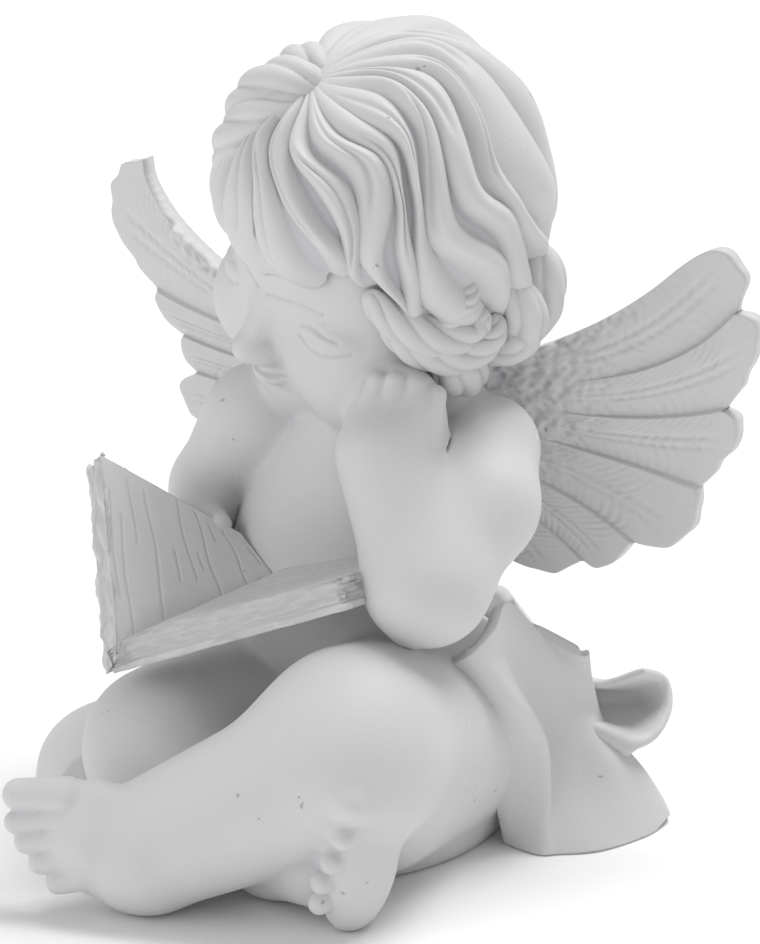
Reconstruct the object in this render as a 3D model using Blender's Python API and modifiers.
"""A small cast figurine: a winged cherub sits cross-legged on a cloth, reads an open book on its lap
and leans its head on its left hand. It is one piece, so it is one solid.

The pose is drawn in shares, 104 of which make the height of the figure. The cherub faces -Y, its
left side is +X, and the flat underside lies on Z = 0. Left and right are the cherub's own.
"""

import math

import bmesh
import bpy
import numpy as np
from mathutils import Euler, Matrix, Vector

HEIGHT = 0.104
SHARE = HEIGHT / 104
WHITE = (0.82, 0.82, 0.81)
BODY_VOXEL = 1.0
SKIN_VOXEL = 0.7
TRIANGLES = 9600
# How many faces the drawn sheets have before they are fused: down and across.
WING_GRID = (36, 96)
HAIR_GRID = (60, 9)
HIP_GRID = (36, 60)
TRUMPET_GRID = (20, 36)
BACK_GRID = (24, 120)
BOOK_GRID = (14, 18, 4)


def turned(degrees):
    return Euler([math.radians(angle) for angle in degrees]).to_matrix()


class Ball:
    """An ellipsoid: its centre, its three radii and how it is turned, in degrees."""

    def __init__(self, centre, radii, turn=(0, 0, 0)):
        self.centre = np.array(centre, float)
        self.radii = np.array([radii] * 3 if isinstance(radii, (int, float)) else radii, float)
        self.turn = turned(turn)

    def distance(self, points):
        local = (points - self.centre) @ np.array(self.turn)
        near = np.linalg.norm(local / self.radii, axis=1)
        steep = np.linalg.norm(local / self.radii**2, axis=1) + 1e-9
        return near * (near - 1) / steep

    def add_to(self, mesh, place):
        size = Matrix.Diagonal((*self.radii, 1))
        matrix = place @ Matrix.Translation(self.centre) @ self.turn.to_4x4() @ size
        bmesh.ops.create_icosphere(mesh, subdivisions=3, radius=1, matrix=matrix)


class Limb:
    """A rounded cone from one centre to another, with a radius at each end."""

    def __init__(self, start, end, start_radius, end_radius):
        self.start = np.array(start, float)
        self.end = np.array(end, float)
        self.radii = (start_radius, end_radius)

    def distance(self, points):
        along = self.end - self.start
        first, last = self.radii
        square = along @ along
        narrowing = first - last
        slope = square - narrowing**2
        offset = points - self.start
        forward = offset @ along
        beyond = forward - square
        aside = ((offset * square - np.outer(forward, along)) ** 2).sum(axis=1)
        near_end = beyond**2 * square
        near_start = forward**2 * square
        limit = np.sign(narrowing) * narrowing**2 * aside
        side = (np.sqrt(aside * slope / square) + forward * narrowing) / square - first
        at_end = np.sqrt(aside + near_end) / square - last
        at_start = np.sqrt(aside + near_start) / square - first
        past = np.sign(beyond) * slope * near_end > limit
        before = np.sign(forward) * slope * near_start < limit
        return np.where(past, at_end, np.where(before, at_start, side))

    def add_to(self, mesh, place):
        axis = Vector(self.end - self.start)
        for centre, radius in zip((self.start, self.end), self.radii):
            matrix = place @ Matrix.Translation(centre)
            bmesh.ops.create_icosphere(mesh, subdivisions=2, radius=radius, matrix=matrix)
        turn = axis.to_track_quat("Z", "Y").to_matrix().to_4x4()
        middle = Matrix.Translation((self.start + self.end) / 2)
        bmesh.ops.create_cone(
            mesh, cap_ends=True, segments=24, depth=axis.length,
            radius1=self.radii[0], radius2=self.radii[1], matrix=place @ middle @ turn,
        )


def melt(first, second, softness):
    """The nearer of two distances, with a fillet where they are about the same."""
    overlap = np.maximum(softness - np.abs(first - second), 0) / softness
    return np.minimum(first, second) - overlap**2 * softness / 4


class Blend:
    """Shapes that melt into each other. Softness is how wide the fillet between them is."""

    def __init__(self, softness, *parts):
        self.softness = softness
        self.parts = parts

    def distance(self, points):
        total = self.parts[0].distance(points)
        for part in self.parts[1:]:
            total = melt(total, part.distance(points), self.softness)
        return total

    def add_to(self, mesh, place):
        for part in self.parts:
            part.add_to(mesh, place)


class Placed:
    """A shape drawn in a frame of its own, such as the head's."""

    def __init__(self, part, at, turn):
        self.part = part
        self.place = Matrix.Translation(at) @ turn.to_4x4()
        self.back = np.array(self.place.inverted())

    def distance(self, points):
        return self.part.distance(points @ self.back[:3, :3].T + self.back[:3, 3])

    def add_to(self, mesh, place):
        self.part.add_to(mesh, place @ self.place)


def gradient(shape, points, step=0.02):
    corners = np.array([(1, -1, -1), (-1, -1, 1), (-1, 1, -1), (1, 1, 1)], float)
    total = np.zeros_like(points)
    for corner in corners:
        total += corner * shape.distance(points + corner * step)[:, None]
    return total / (4 * step)


def settle(points, shape, rounds=3, reach=1.5):
    """Moves points onto the surface of a shape."""
    for _ in range(rounds):
        slope = gradient(shape, points)
        square = np.maximum((slope**2).sum(axis=1), 0.2)
        move = shape.distance(points) / square
        points = points - slope * np.clip(move, -reach, reach)[:, None]
    return points


def through(points, places):
    """Points along a smooth curve through a few chosen ones, at places from 0 to 1."""
    points = np.array(points, float)
    ends = np.vstack([2 * points[0] - points[1], points, 2 * points[-1] - points[-2]])
    steps = np.clip(np.asarray(places, float), 0, 1) * (len(points) - 1)
    first = np.minimum(steps.astype(int), len(points) - 2)
    t = (steps - first)[:, None]
    a, b, c, d = (ends[first + k] for k in range(4))
    return 0.5 * (2 * b + (c - a) * t + (2 * a - 5 * b + 4 * c - d) * t**2 + (3 * b - a - 3 * c + d) * t**3)


def smooth_step(values):
    values = np.clip(values, 0, 1)
    return values * values * (3 - 2 * values)


def read_points(mesh):
    points = np.empty(len(mesh.vertices) * 3, np.float32)
    mesh.vertices.foreach_get("co", points)
    return points.reshape(-1, 3).astype(float)


def write_points(mesh, points):
    mesh.vertices.foreach_set("co", points.astype(np.float32).ravel())
    mesh.update()


def object_from(name, bm):
    mesh = bpy.data.meshes.new(name)
    bm.to_mesh(mesh)
    bm.free()
    obj = bpy.data.objects.new(name, mesh)
    bpy.context.scene.collection.objects.link(obj)
    return obj


def skin(name, shape, voxel):
    """The outer skin of a shape, as a mesh object."""
    bm = bmesh.new()
    shape.add_to(bm, Matrix.Identity(4))
    obj = object_from(name, bm)
    remesh = obj.modifiers.new("fuse", "REMESH")
    remesh.mode = "VOXEL"
    remesh.voxel_size = voxel
    graph = bpy.context.evaluated_depsgraph_get()
    obj.data = bpy.data.meshes.new_from_object(obj.evaluated_get(graph))
    obj.modifiers.clear()
    write_points(obj.data, settle(read_points(obj.data), shape))
    return obj


def grid_points(bm, columns, rows):
    made = bmesh.ops.create_grid(bm, x_segments=columns, y_segments=rows, size=0.5)
    return made["verts"]


def place_grid(verts, place):
    """Moves the points of a unit grid to where place(u, v) puts them, all at once."""
    u = np.array([vert.co.x + 0.5 for vert in verts])
    v = np.array([vert.co.y + 0.5 for vert in verts])
    for vert, point in zip(verts, place(u, v)):
        vert.co = point


def sheet_solid(name, rows, columns, front, back):
    """A closed solid from two facing sheets, each a function of (u, v) from 0 to 1."""
    bm = bmesh.new()
    rims = []
    for side in (front, back):
        verts = grid_points(bm, columns, rows)
        place_grid(verts, side)
        edges = {edge for vert in verts for edge in vert.link_edges}
        rims += [edge for edge in edges if edge.is_boundary]
    bmesh.ops.bridge_loops(bm, edges=rims)
    bmesh.ops.recalc_face_normals(bm, faces=bm.faces)
    return object_from(name, bm)


def wrapped(name, rows, columns, place):
    """A closed skin: u goes round it, and v from the pole on one side to the pole on the other."""
    bm = bmesh.new()
    place_grid(grid_points(bm, columns, rows), place)
    bmesh.ops.remove_doubles(bm, verts=bm.verts, dist=1e-4)
    bmesh.ops.recalc_face_normals(bm, faces=bm.faces)
    return object_from(name, bm)


HEAD_AT = (1.0, 0.6, 73.3)
HEAD_TURN = (
    Matrix.Rotation(math.radians(25), 3, "X")
    @ Matrix.Rotation(math.radians(10), 3, "Y")
    @ Matrix.Rotation(math.radians(-28), 3, "Z")
)
HEAD_PLACE = Matrix.Translation(HEAD_AT) @ HEAD_TURN.to_4x4()


def torso():
    return Blend(
        5.0,
        Ball((0, 4, 14), (17, 14, 14)),
        Ball((9, 6, 11), (12, 12, 12)),
        Ball((-9, 6, 11), (12, 12, 12)),
        Ball((-3, -3, 28), (15.5, 13, 13)),
        Ball((0, -2, 43), (13.5, 10.5, 12)),
        Ball((0, 4, 46), (12, 8, 10)),
        Ball((-7.5, -3, 36.5), (8, 9.5, 9)),
        Limb((1, -2, 52), (2, -3, 62), 7.5, 7.5),
        Ball((-1, -5, 2), (19, 23, 8)),
    )


def left_arm():
    """The arm that the head leans on: shoulder, elbow on the knee, wrist and the hand at the jaw."""
    return Blend(
        3.5,
        Limb((16.2, -2, 50.0), (19.8, -10, 45.5), 6.8, 6.3),
        Limb((19.8, -10, 45.5), (17.4, -19.5, 38.0), 6.3, 6.9),
        Limb((17.4, -19.5, 38.0), (9.8, -16.2, 52.0), 6.9, 5.8),
        Ball((9.8, -12.4, 56.4), (6.0, 4.6, 6.0)),
    )


def right_arm():
    """The arm that holds the book from behind, its thumb over the edge."""
    arm = Blend(
        2.5,
        Limb((-14.5, -3, 50), (-22.5, -1, 40), 7.4, 5.2),
        Limb((-22.5, -1, 40), (-20.5, -9, 37.5), 5.2, 4.2),
    )
    return Blend(0.8, arm, Limb((-18.5, -9.5, 38.5), (-14.6, -13.6, 39.0), 2.2, 1.7))


def left_leg():
    return Blend(
        5.0,
        Limb((8.5, 2, 13), (13, -29, 20.5), 12.5, 11.5),
        Limb((8.5, 1, 11), (10.5, -20, 10), 12, 9.5),
        Limb((13, -33, 18.5), (-7.5, -41.5, 8.0), 10.5, 8),
    )


def right_leg():
    return Blend(
        4.0,
        Limb((-10, 2, 13), (-16, -25, 14), 13, 9.5),
        Limb((-16, -24.5, 12), (3, -31, 5.8), 9, 6),
    )


def toes(places, big, small):
    """Five toes from the big one to the little one, each from its root to its tip."""
    radii = [big] + [small] * (len(places) - 1)
    return [Limb(root, tip, radius, radius * 0.85) for (root, tip), radius in zip(places, radii)]


LEFT_TOES = [
    ((-16, -47, 14.4), (-22, -48.5, 14)),
    ((-16, -47.5, 11.8), (-22.2, -48.8, 10.6)),
    ((-15.5, -48, 9.4), (-20.8, -48.9, 8.4)),
    ((-14.5, -48, 7.2), (-18.8, -49, 6.2)),
    ((-13.5, -48, 5), (-16.5, -48.8, 4)),
]
RIGHT_TOES = [
    ((18.0, -38, 16.4), (18.7, -41.2, 17.6)),
    ((17.6, -38, 13), (17.9, -41.6, 13.2)),
    ((16.4, -38, 10.0), (16.4, -41.6, 10.0)),
    ((15.4, -38, 7.2), (15.0, -41.4, 7.2)),
    ((14.8, -37.5, 4.8), (14.5, -41, 4.4)),
]
FINGERS = [
    ((6.9, -15.6, 54.6), (8.0, -14.8, 60.6)),
    ((9.3, -15.6, 54.8), (10.0, -13.4, 61.4)),
    ((11.6, -14.6, 54.6), (12.0, -11.6, 61.4)),
    ((13.6, -12.6, 54.0), (13.8, -9.6, 60.8)),
]


def left_foot():
    instep = Blend(
        2.0,
        Ball((-8, -42.5, 6.6), (7.2, 6.5, 6.6)),
        Limb((-9.5, -43, 7), (-12.5, -45.5, 8.5), 6.5, 5),
        Ball((-13.5, -45.6, 9.4), (6.2, 4.0, 7.0), (0, 15, 18)),
    )
    return Blend(0.5, instep, *toes(LEFT_TOES, 2.3, 1.75))


def right_foot():
    sole = Blend(
        1.5,
        Limb((3, -31, 6), (11, -34, 7), 6, 6),
        Ball((17.0, -36.0, 9.2), (4.2, 5.6, 9.9), (0, 8, -12)),
    )
    return Blend(0.5, sole, *toes(RIGHT_TOES, 2.3, 1.6))


def fingers():
    return Blend(0.8, *[Limb(knuckle, tip, 1.9, 1.6) for knuckle, tip in FINGERS])


def head():
    """The head in its own frame: skull, round cheeks, chin, nose, closed lids and lips."""
    return Blend(
        3.0,
        Ball((0, 0, 5), (16.8, 17.5, 18.5)),
        Ball((0, -9, -4), (14, 10, 12)),
        Ball((9, -10, -8.5), (8.5, 8, 8)),
        Ball((-9, -10, -8.5), (8.5, 8, 8)),
        Ball((0, -13, -14), (6, 5, 4.8)),
        Ball((0, -20.0, -5.0), (2.4, 2.8, 2.4)),
        Ball((9.2, -14.6, -0.9), (3.6, 2.6, 2.3)),
        Ball((-9.2, -14.6, -0.9), (3.6, 2.6, 2.3)),
        Ball((0, -18.0, -9.6), (3.2, 2.2, 1.5)),
    )


def figure():
    limbs = [left_arm(), fingers(), right_arm(), left_leg(), left_foot(), right_leg(), right_foot()]
    return Blend(1.5, torso(), Placed(head(), HEAD_AT, HEAD_TURN), *limbs)


PARTING = (-3.9, -6.3, 25.7)
HAIR_CENTRE = (0, 0.5, 7.0)
HAIR_RADII = (17.8, 18.4, 19.6)
HAIR_DEPTH = 3.4
HAIR_EDGE = 1.2
# How far from the parting the locks are measured, in degrees, and for each crease between two locks
# the way it points there, in degrees round from the middle of the forehead towards the left ear,
# and where it ends.
STATIONS = (8, 25, 40, 55, 70, 90, 115)
CREASES = [
    (-22, -28, -42, -55, -62, -66, -70, 118), (-4, -16, -22, -25, -22, -20, -18, 80),
    (8, 4, 20, 30, 32, 32, 32, 77), (30, 27, 40, 44, 44, 44, 44, 75), (42, 44, 58, 56, 52, 50, 49, 88),
    (58, 66, 79, 75, 62, 56, 54, 128), (78, 86, 91, 80, 70, 65, 62, 146), (102, 112, 102, 86, 77, 79, 80, 156),
    (125, 127, 116, 101, 92, 94, 96, 162), (138, 138, 136, 118, 105, 107, 110, 165),
    (152, 152, 150, 132, 116, 116, 122, 166), (170, 170, 168, 158, 146, 140, 142, 168),
    (190, 188, 184, 180, 172, 164, 164, 168), (208, 214, 212, 202, 192, 188, 188, 168),
    (226, 234, 234, 224, 216, 214, 212, 168), (246, 252, 256, 250, 240, 238, 238, 165),
    (268, 270, 270, 268, 260, 258, 256, 158), (300, 298, 290, 286, 280, 276, 274, 142),
]


def ring_value(rows, places):
    """Smooth values between the rows of a ring; a direction grows by a full turn each time round."""
    rows = np.array(rows, float)
    count = len(rows)
    grow = np.array([360.0] * len(STATIONS) + [0.0])
    first = np.floor(places).astype(int)
    t = (places - first)[:, None]
    a, b, c, d = (rows[(first + k) % count] + ((first + k) // count)[:, None] * grow for k in (-1, 0, 1, 2))
    return 0.5 * (2 * b + (c - a) * t + (2 * a - 5 * b + 4 * c - d) * t**2 + (3 * b - a - 3 * c + d) * t**3)


def along_stations(rows, away):
    """The direction of each row at its own distance from the parting, smoothly between stations."""
    x = np.array(STATIONS, float)
    y = rows[:, : len(x)]
    slopes = np.gradient(y, x, axis=1)
    away = np.clip(away, x[0], x[-1])
    i = np.clip(np.searchsorted(x, away, side="right") - 1, 0, len(x) - 2)
    n = np.arange(len(away))
    width = x[i + 1] - x[i]
    t = (away - x[i]) / width
    h00 = 2 * t**3 - 3 * t**2 + 1
    h10 = t**3 - 2 * t**2 + t
    h01 = 3 * t**2 - 2 * t**3
    h11 = t**3 - t**2
    return h00 * y[n, i] + h10 * width * slopes[n, i] + h01 * y[n, i + 1] + h11 * width * slopes[n, i + 1]


def hair(name):
    """The hair: locks from the parting to the hairline, between deep creases."""
    centre = np.array(HAIR_CENTRE, float)
    radii = np.array(HAIR_RADII)
    pole = np.array(PARTING) - centre
    pole /= np.linalg.norm(pole)
    front = np.array((0, -1, 0)) + pole * pole[1]
    front /= np.linalg.norm(front)
    side = np.cross(front, pole)
    side *= np.sign(side[0])
    place = np.array(HEAD_PLACE)
    locks = len(CREASES)
    rows_down, faces_a_lock = HAIR_GRID
    rim = 0.88

    def surface(u, v):
        at = u * locks
        lock = np.floor(at)
        f = at - lock
        rows = ring_value(CREASES, at)
        ridge = (1 - np.abs(2 * f - 1) ** 1.8) * (1.1 - 0.35 * f)
        s = np.minimum(v / rim, 1)
        away = rows[:, -1] * s * (0.93 + 0.07 * ridge)
        turn = np.radians(along_stations(rows, away) + 4 * np.sin(away / 9 + lock * 1.7) * s)
        away = np.radians(away)
        round_the_pole = np.outer(np.cos(turn), front) + np.outer(np.sin(turn), side)
        ray = np.cos(away)[:, None] * pole + np.sin(away)[:, None] * round_the_pole
        out = 1 / np.linalg.norm(ray / radii, axis=1)
        full = smooth_step(s * 4)
        depth = HAIR_EDGE + (HAIR_DEPTH - HAIR_EDGE) * ridge * full
        depth = depth * (1 - s**8)
        inner = smooth_step((v - rim) / (1 - rim))
        out = out + depth - 3 * inner
        away_in = away * (1 - np.clip((v - rim) / (1 - rim), 0, 1) ** 2)
        ray_in = np.cos(away_in)[:, None] * pole + np.sin(away_in)[:, None] * round_the_pole
        points = centre + ray_in * out[:, None]
        return points @ place[:3, :3].T + place[:3, 3]

    return wrapped(name, rows_down, faces_a_lock * locks, surface)


# Rolls and curls of hair on top of the locks: a line of points and the radius at each.
CURLS = [
    (((-1, -13, 95.5), (-6, -14.0, 95.5), (-10, -12.0, 91.4), (-11.5, -8, 86)), (2.2, 3.8, 4.0, 3.4)),
    (((-4, -14, 94), (-9.5, -15.4, 90.4), (-12.6, -13, 86), (-13.0, -8, 81)), (1.8, 3.2, 3.6, 3.0)),
    (((14.5, -12, 73), (17.5, -9, 69.5), (18.5, -5, 66.5), (16.5, -4, 64)), (2.0, 3.0, 3.4, 2.6)),
    (((18.6, 3, 77), (20, 3.5, 72), (19, 4, 67.5), (16, 4, 63.5)), (2.6, 3.6, 3.8, 4.4)),
    (((13, -10, 66), (15, -7, 63), (13.5, -4, 60.5), (10, -5, 60)), (2.4, 4.0, 5.0, 5.0)),
]


def curls():
    limbs = []
    for line, radii in CURLS:
        for i in range(len(line) - 1):
            limbs.append(Limb(line[i], line[i + 1], radii[i], radii[i + 1]))
    return Blend(0.6, *limbs)


WING_ROOT = (7.0, 9.0, 49.0)
WING_SWEEP = 10.0
WING_THICKNESS = 1.8
# The lines between the feathers, from the top edge of the wing to its lower edge: where each leaves
# the shoulder, how it bends and where it meets the rim, outwards from the root and up. Then the
# middle of the round end of each feather.
QUILLS = {
    1: [
        ((5, 9), (20, 14.5), (28, 22.3)), ((3, 7.5), (26, 5.5), (35.5, 17.4)), ((2, 5), (22, 1.5), (34, 5.1)),
        ((1, 2), (18, -1), (30.8, -5)), ((1, -2), (13, -5), (23.1, -12.8)), ((1, -5), (9, -8.5), (16.5, -15.6)),
        ((0.5, -8), (4, -12), (7, -16.4)),
    ],
    -1: [
        ((5, 9), (33, 17), (35.2, 28.8)), ((3, 7.5), (24, 8), (33.2, 11.3)), ((2, 5), (18, 3.5), (28.3, 5.8)),
        ((1, 2), (15, 0), (26.8, 1.2)), ((1, -2), (12, -4), (26.2, -5.2)), ((1, -5), (9, -8.5), (18.5, -10.6)),
        ((0.5, -8), (4, -12), (8, -14)),
    ],
}
FEATHER_TIPS = {
    1: [(34.5, 24.6), (38.0, 13.5), (35.6, 1.5), (29.3, -11.5), (20.0, -15.9), (12.2, -17.4)],
    -1: [(40.4, 21.5), (32.6, 8.4), (28.8, 3.4), (29.2, -2), (23.6, -9.8), (13.4, -14.4)],
}


def wing(name, side):
    """One wing: a fan of feathers, their round ends along its rim. Side is 1 for left, -1 for right."""
    sweep = math.radians(WING_SWEEP)
    outward = np.array((side * math.cos(sweep), math.sin(sweep), 0))
    normal = np.array((0, -1, 0))
    up = np.array((0, 0, 1))
    root = np.array((side * WING_ROOT[0], WING_ROOT[1], WING_ROOT[2]))
    quills = np.array(QUILLS[side], float)
    tips = np.array(FEATHER_TIPS[side])
    count = len(tips)

    def surface(u, v, lift):
        feather = np.minimum((u * count).astype(int), count - 1)
        f = u * count - feather
        bounds = quills[feather] * (1 - f)[:, None, None] + quills[feather + 1] * f[:, None, None]
        t = v[:, None]
        bulge = tips[feather] - (quills[feather, 2] + quills[feather + 1, 2]) / 2
        flat = bounds[:, 0] * (1 - t) ** 2 + bounds[:, 1] * 2 * t * (1 - t) + bounds[:, 2] * t * t
        flat = flat + bulge * ((1 - np.abs(2 * f - 1) ** 2.4) * v**4)[:, None]
        fade = smooth_step((v - 0.25) * 3)
        relief = fade * (0.7 * (1 - f) ** 1.5 - 0.3 + 0.35 * np.sin(np.pi * f))
        body = WING_THICKNESS * (0.6 + 1.6 * (1 - v) ** 2)
        thick = lift * (body + relief)
        return root + flat[:, :1] * outward + flat[:, 1:] * up + thick[:, None] * normal

    return sheet_solid(name, *WING_GRID, lambda u, v: surface(u, v, 1), lambda u, v: surface(u, v, -1))


# The corners of the two halves of the open book: the spine in front and at the belly, then the outer edge
# at the belly and in front. The pages lie on the side that the reader sees.
SPINE_FRONT = (-18.4, -33.0, 26.0)
SPINE_BACK = (-7.2, -13.5, 31.5)
NEAR_BACK = (17.0, -9.0, 37.5)
NEAR_FRONT = (11.2, -28.0, 37.2)
FAR_BACK = (-13.6, -11.5, 36.6)
FAR_FRONT = (-28.6, -20.0, 47.2)
NEAR_HALF = (SPINE_FRONT, SPINE_BACK, NEAR_BACK, NEAR_FRONT)
FAR_HALF = (SPINE_FRONT, SPINE_BACK, FAR_BACK, FAR_FRONT)
PAGES = 3.4
COVER = 1.0
FAR_COVER = 3.2


def leaf(name, corners, side, cover):
    """Half of the open book: a block of pages on its cover, between four corners."""
    front, back, far_back, far_front = (np.array(corner, float) for corner in corners)
    normal = np.cross(back - front, far_front - front)
    normal *= -side / np.linalg.norm(normal)

    def place(a, b, c):
        """a goes along the spine, b from the spine outwards and c from the cover up to the pages."""
        flat = (
            np.outer((1 - a) * (1 - b), front) + np.outer(a * (1 - b), back)
            + np.outer(a * b, far_back) + np.outer((1 - a) * b, far_front)
        )
        swell = 1 - (1 - np.minimum(1, b * 4)) ** 2
        high = -cover + c * (cover + PAGES * (0.55 + 0.45 * swell) * (1 - 0.15 * b))
        return flat + np.outer(high, normal)

    bm = bmesh.new()
    bmesh.ops.create_cube(bm, size=1)
    for axis, cuts in enumerate(BOOK_GRID):
        edges = [e for e in bm.edges if abs((e.verts[0].co - e.verts[1].co)[axis]) > 0.9]
        bmesh.ops.subdivide_edges(bm, edges=edges, cuts=cuts, use_grid_fill=True)
    spots = np.array([vert.co for vert in bm.verts]) + 0.5
    for vert, point in zip(bm.verts, place(*spots.T)):
        vert.co = point
    bmesh.ops.recalc_face_normals(bm, faces=bm.faces)
    return object_from(name, bm)


CLOTH = 2.2
# How much thicker the cloth is where it lies on the hip and on the back.
HIP_DEPTH = 4.0
BACK_DEPTH = 9.0
# Points that the cloth passes through, down from the waist to the hem, at each fold in turn: first
# the drape on the left hip, then the folds behind and on the right, which are plainer.
HIP_DRAPE = [
    [(17.5, -14, 26.5), (19, -10.2, 21), (19.5, -7.4, 14), (19.5, -5.4, 7), (20, -2.5, -1)],
    [(20.8, -14.4, 28.8), (24.0, -9.4, 21), (24.6, -3.4, 14), (24.8, -2.4, 7), (25.2, -4.6, -1)],
    [(19.5, -7, 29), (21.2, -2, 22), (22.6, 1.8, 14), (24, 0.5, 7), (28, -3.4, -1)],
    [(17.8, 0, 30), (22, 3, 22.5), (24, 5.5, 14.5), (26.5, 4.0, 7.5), (31.5, -0.5, -1)],
    [(20.5, 3.2, 26.6), (24.2, 6.2, 20.6), (25.2, 8.6, 14), (29.8, 7.2, 8), (34, 5.6, -1)],
    [(25.6, 6, 23.2), (25.2, 8.8, 18.4), (26.2, 11, 12), (31.6, 11.2, 6.6), (34.8, 12.6, 0.6)],
    [(24.6, 8.5, 22.4), (24.2, 11.2, 17.6), (25.4, 12.8, 11.2), (30.2, 13.2, 5.4), (33.6, 15, -0.8)],
]
TRUMPET = [
    [(22.0, 8.5, 19.5), (25.6, 11.2, 17.4), (31.2, 13, 19.6)],
    [(21.6, 12.5, 16.5), (27.0, 16.8, 15.4), (32.6, 17.0, 17.4)],
    [(22.0, 13.5, 13.5), (28.2, 18.0, 12.8), (33.8, 15.6, 14.2)],
    [(23.0, 11.5, 12.4), (28.6, 13.4, 11.4), (33.6, 12, 11.6)],
    [(23.6, 8.6, 12.6), (27.4, 8.4, 12.2), (31.4, 9.6, 9.8)],
    [(23.6, 9.0, 9.6), (25.2, 11.4, 8.4), (27.6, 12.6, 6.8)],
]
BACK_FOLDS = [
    [(14.5, 9, 27), (18, 12.5, 19), (22, 14.5, 10), (26, 16.5, -1)],
    [(11, 13, 27), (15, 18, 18), (17, 19.5, 9), (17.5, 19.5, -1)],
    [(7, 15.5, 26), (9.5, 20.5, 17), (11, 24, 8), (12, 27, -1)],
    [(2, 16.5, 25), (3, 20, 16), (3.5, 21.5, 8), (4, 22, -1)],
    [(-4, 16.5, 24), (-5, 21, 15), (-6, 25, 7), (-7, 28, -1)],
    [(-9, 15, 22), (-11, 18.5, 14), (-13, 20, 7), (-14, 21, -1)],
    [(-14, 11.5, 20), (-18, 15.5, 13), (-22, 18.5, 6), (-26, 20, -1)],
    [(-17.5, 6.5, 18), (-22, 8, 12), (-25.5, 9, 6), (-27, 10, -1)],
    [(-19, 0, 16), (-25, 0.5, 11), (-31, 1, 6), (-34, 1.5, -1)],
    [(-20, -6, 15), (-26, -6, 12), (-30, -7, 6), (-32, -8, -1)],
    [(-20.5, -12, 14.5), (-28, -12.5, 13), (-34.5, -14, 8), (-36.5, -15, -1)],
    [(-19.5, -18, 13), (-26, -18.5, 12), (-33, -20, 7), (-35, -22, -1)],
    [(-17, -24, 10), (-22, -25, 8), (-26, -27, 3), (-27, -28.5, -1)],
]


def draped(name, folds, thickness, grid, into=0.0):
    """Cloth that passes through chosen points: a smooth sheet, thicker by so much where it lies on the body."""
    folds = np.array(folds, float)

    def surface(u, v):
        down = [through(fold, v) for fold in folds]
        ends = [2 * down[0] - down[1], *down, 2 * down[-1] - down[-2]]
        ends = np.stack(ends)
        steps = np.clip(u, 0, 1) * (len(down) - 1)
        first = np.minimum(steps.astype(int), len(down) - 2)
        t = (steps - first)[:, None]
        n = np.arange(len(u))
        a, b, c, d = (ends[first + k, n] for k in range(4))
        return 0.5 * (2 * b + (c - a) * t + (2 * a - 5 * b + 4 * c - d) * t**2 + (3 * b - a - 3 * c + d) * t**3)

    def shifted(u, v, lift):
        step = 0.004
        low_u, low_v = np.clip(u, 0, 1 - step), np.clip(v, 0, 1 - step)
        here = surface(low_u, low_v)
        normal = np.cross(surface(low_u + step, low_v) - here, surface(low_u, low_v + step) - here)
        normal /= np.linalg.norm(normal, axis=1)[:, None] + 1e-9
        edge = np.minimum(np.minimum(u, 1 - u) * len(folds) * 4, 1)
        edge = np.sqrt(np.clip(edge * np.minimum((1 - v) * 12, 1), 0, 1))
        deep = lift * thickness / 2 * (0.6 + 0.4 * edge) + into * (lift > 0) * 4 * v * (1 - v)
        return surface(u, v) + normal * deep[:, None]

    return sheet_solid(name, *grid, lambda u, v: shifted(u, v, 1), lambda u, v: shifted(u, v, -1))


def cushion():
    """The folded cloth between the left hip and the sheets that fall from it."""
    return Blend(
        2.0,
        Limb((12, 6, 8), (22.0, 8.0, 7.5), 9, 5.4),
        Limb((14, 6, 15), (22.4, 8.0, 15), 8, 3.6),
        Limb((16, 3, 22), (22.0, 5.0, 21.5), 6, 2.6),
        Ball((22.5, 11.5, 11.0), (3.6, 3.8, 5.0)),
    )


def keep_largest(bm):
    """Leaves the largest closed surface, without the bubbles inside it."""
    left = set(bm.verts)
    islands = []
    while left:
        island = {left.pop()}
        front = list(island)
        while front:
            vert = front.pop()
            for edge in vert.link_edges:
                other = edge.other_vert(vert)
                if other in left:
                    left.discard(other)
                    island.add(other)
                    front.append(other)
        islands.append(island)
    islands.sort(key=len)
    for island in islands[:-1]:
        bmesh.ops.delete(bm, geom=list(island), context="VERTS")


def fused(shapes):
    """All the shapes as one closed skin, cut flat underneath."""
    bm = bmesh.new()
    for shape in shapes:
        bm.from_mesh(shape.data)
        bpy.data.objects.remove(shape)
    obj = object_from("angel_figurine", bm)
    remesh = obj.modifiers.new("fuse", "REMESH")
    remesh.mode = "VOXEL"
    remesh.voxel_size = SKIN_VOXEL
    graph = bpy.context.evaluated_depsgraph_get()
    bm = bmesh.new()
    bm.from_object(obj, graph)
    obj.modifiers.clear()
    keep_largest(bm)
    bm.to_mesh(obj.data)
    bm.free()
    return obj


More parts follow.
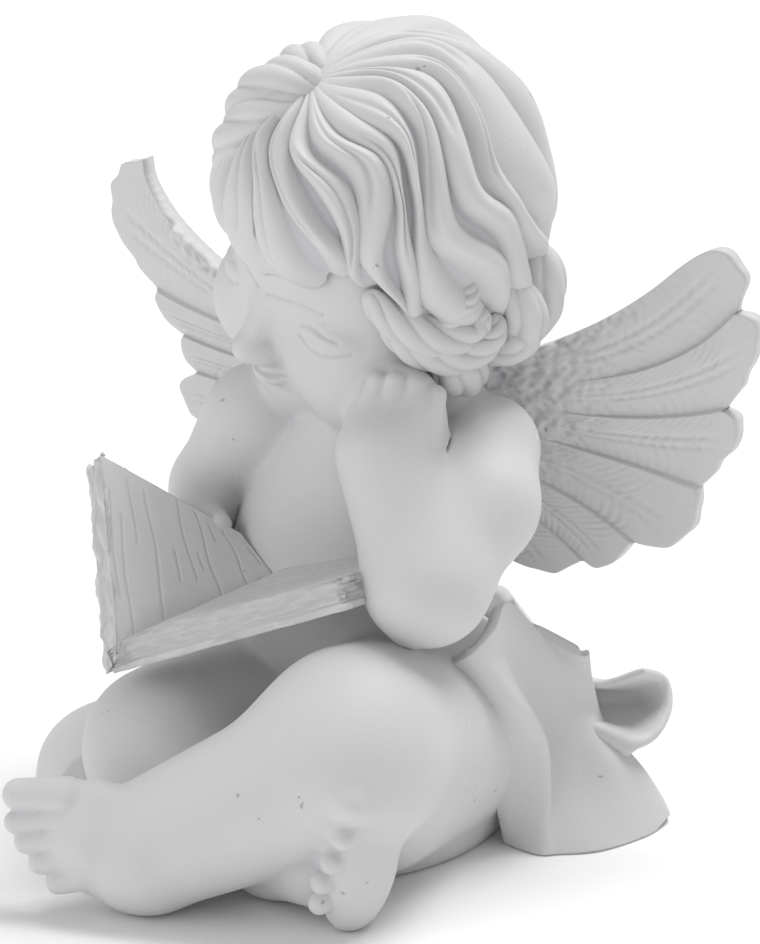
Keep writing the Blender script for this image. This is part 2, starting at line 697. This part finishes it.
def level(obj):
    """Cuts the underside flat on the ground."""
    bm = bmesh.new()
    bm.from_mesh(obj.data)
    cut = bmesh.ops.bisect_plane(
        bm, geom=[*bm.verts, *bm.edges, *bm.faces], plane_co=(0, 0, 0), plane_no=(0, 0, -1), clear_outer=True
    )
    rim = [item for item in cut["geom_cut"] if isinstance(item, bmesh.types.BMEdge)]
    bmesh.ops.triangle_fill(bm, edges=rim, use_beauty=True, normal=(0, 0, -1))
    bmesh.ops.triangulate(bm, faces=bm.faces)
    bm.to_mesh(obj.data)
    bm.free()


def lighten(obj, triangles):
    """Brings a mesh down to about so many triangles where it is flattest."""
    obj.data.calc_loop_triangles()
    decimate = obj.modifiers.new("lighten", "DECIMATE")
    decimate.ratio = triangles / len(obj.data.loop_triangles)
    graph = bpy.context.evaluated_depsgraph_get()
    mesh = bpy.data.meshes.new_from_object(obj.evaluated_get(graph))
    obj.modifiers.clear()
    obj.data = mesh


def white_resin():
    material = bpy.data.materials.new("white_resin")
    material.use_nodes = True
    shader = material.node_tree.nodes["Principled BSDF"]
    shader.inputs["Base Color"].default_value = (*WHITE, 1)
    shader.inputs["Roughness"].default_value = 0.55
    shader.inputs["Metallic"].default_value = 0.0
    return material


def main():
    for obj in list(bpy.data.objects):
        bpy.data.objects.remove(obj)
    shapes = [
        skin("figure", figure(), BODY_VOXEL),
        hair("hair"),
        skin("curls", curls(), BODY_VOXEL),
        wing("wing_left", 1),
        wing("wing_right", -1),
        leaf("book_near_half", NEAR_HALF, 1, COVER),
        leaf("book_far_half", FAR_HALF, -1, FAR_COVER),
        draped("hip_drape", HIP_DRAPE, CLOTH, HIP_GRID, HIP_DEPTH),
        draped("cloth_trumpet", TRUMPET, CLOTH, TRUMPET_GRID),
        draped("cloth_behind", BACK_FOLDS, CLOTH, BACK_GRID, BACK_DEPTH),
        skin("cushion", cushion(), BODY_VOXEL),
    ]
    figurine = fused(shapes)
    lighten(figurine, TRIANGLES)
    level(figurine)
    figurine.data.transform(Matrix.Scale(SHARE, 4))
    figurine.data.shade_smooth()
    figurine.data.materials.append(white_resin())
    group = bpy.data.collections.new("angel_figurine")
    bpy.context.scene.collection.children.link(group)
    for holder in list(figurine.users_collection):
        holder.objects.unlink(figurine)
    group.objects.link(figurine)


main()
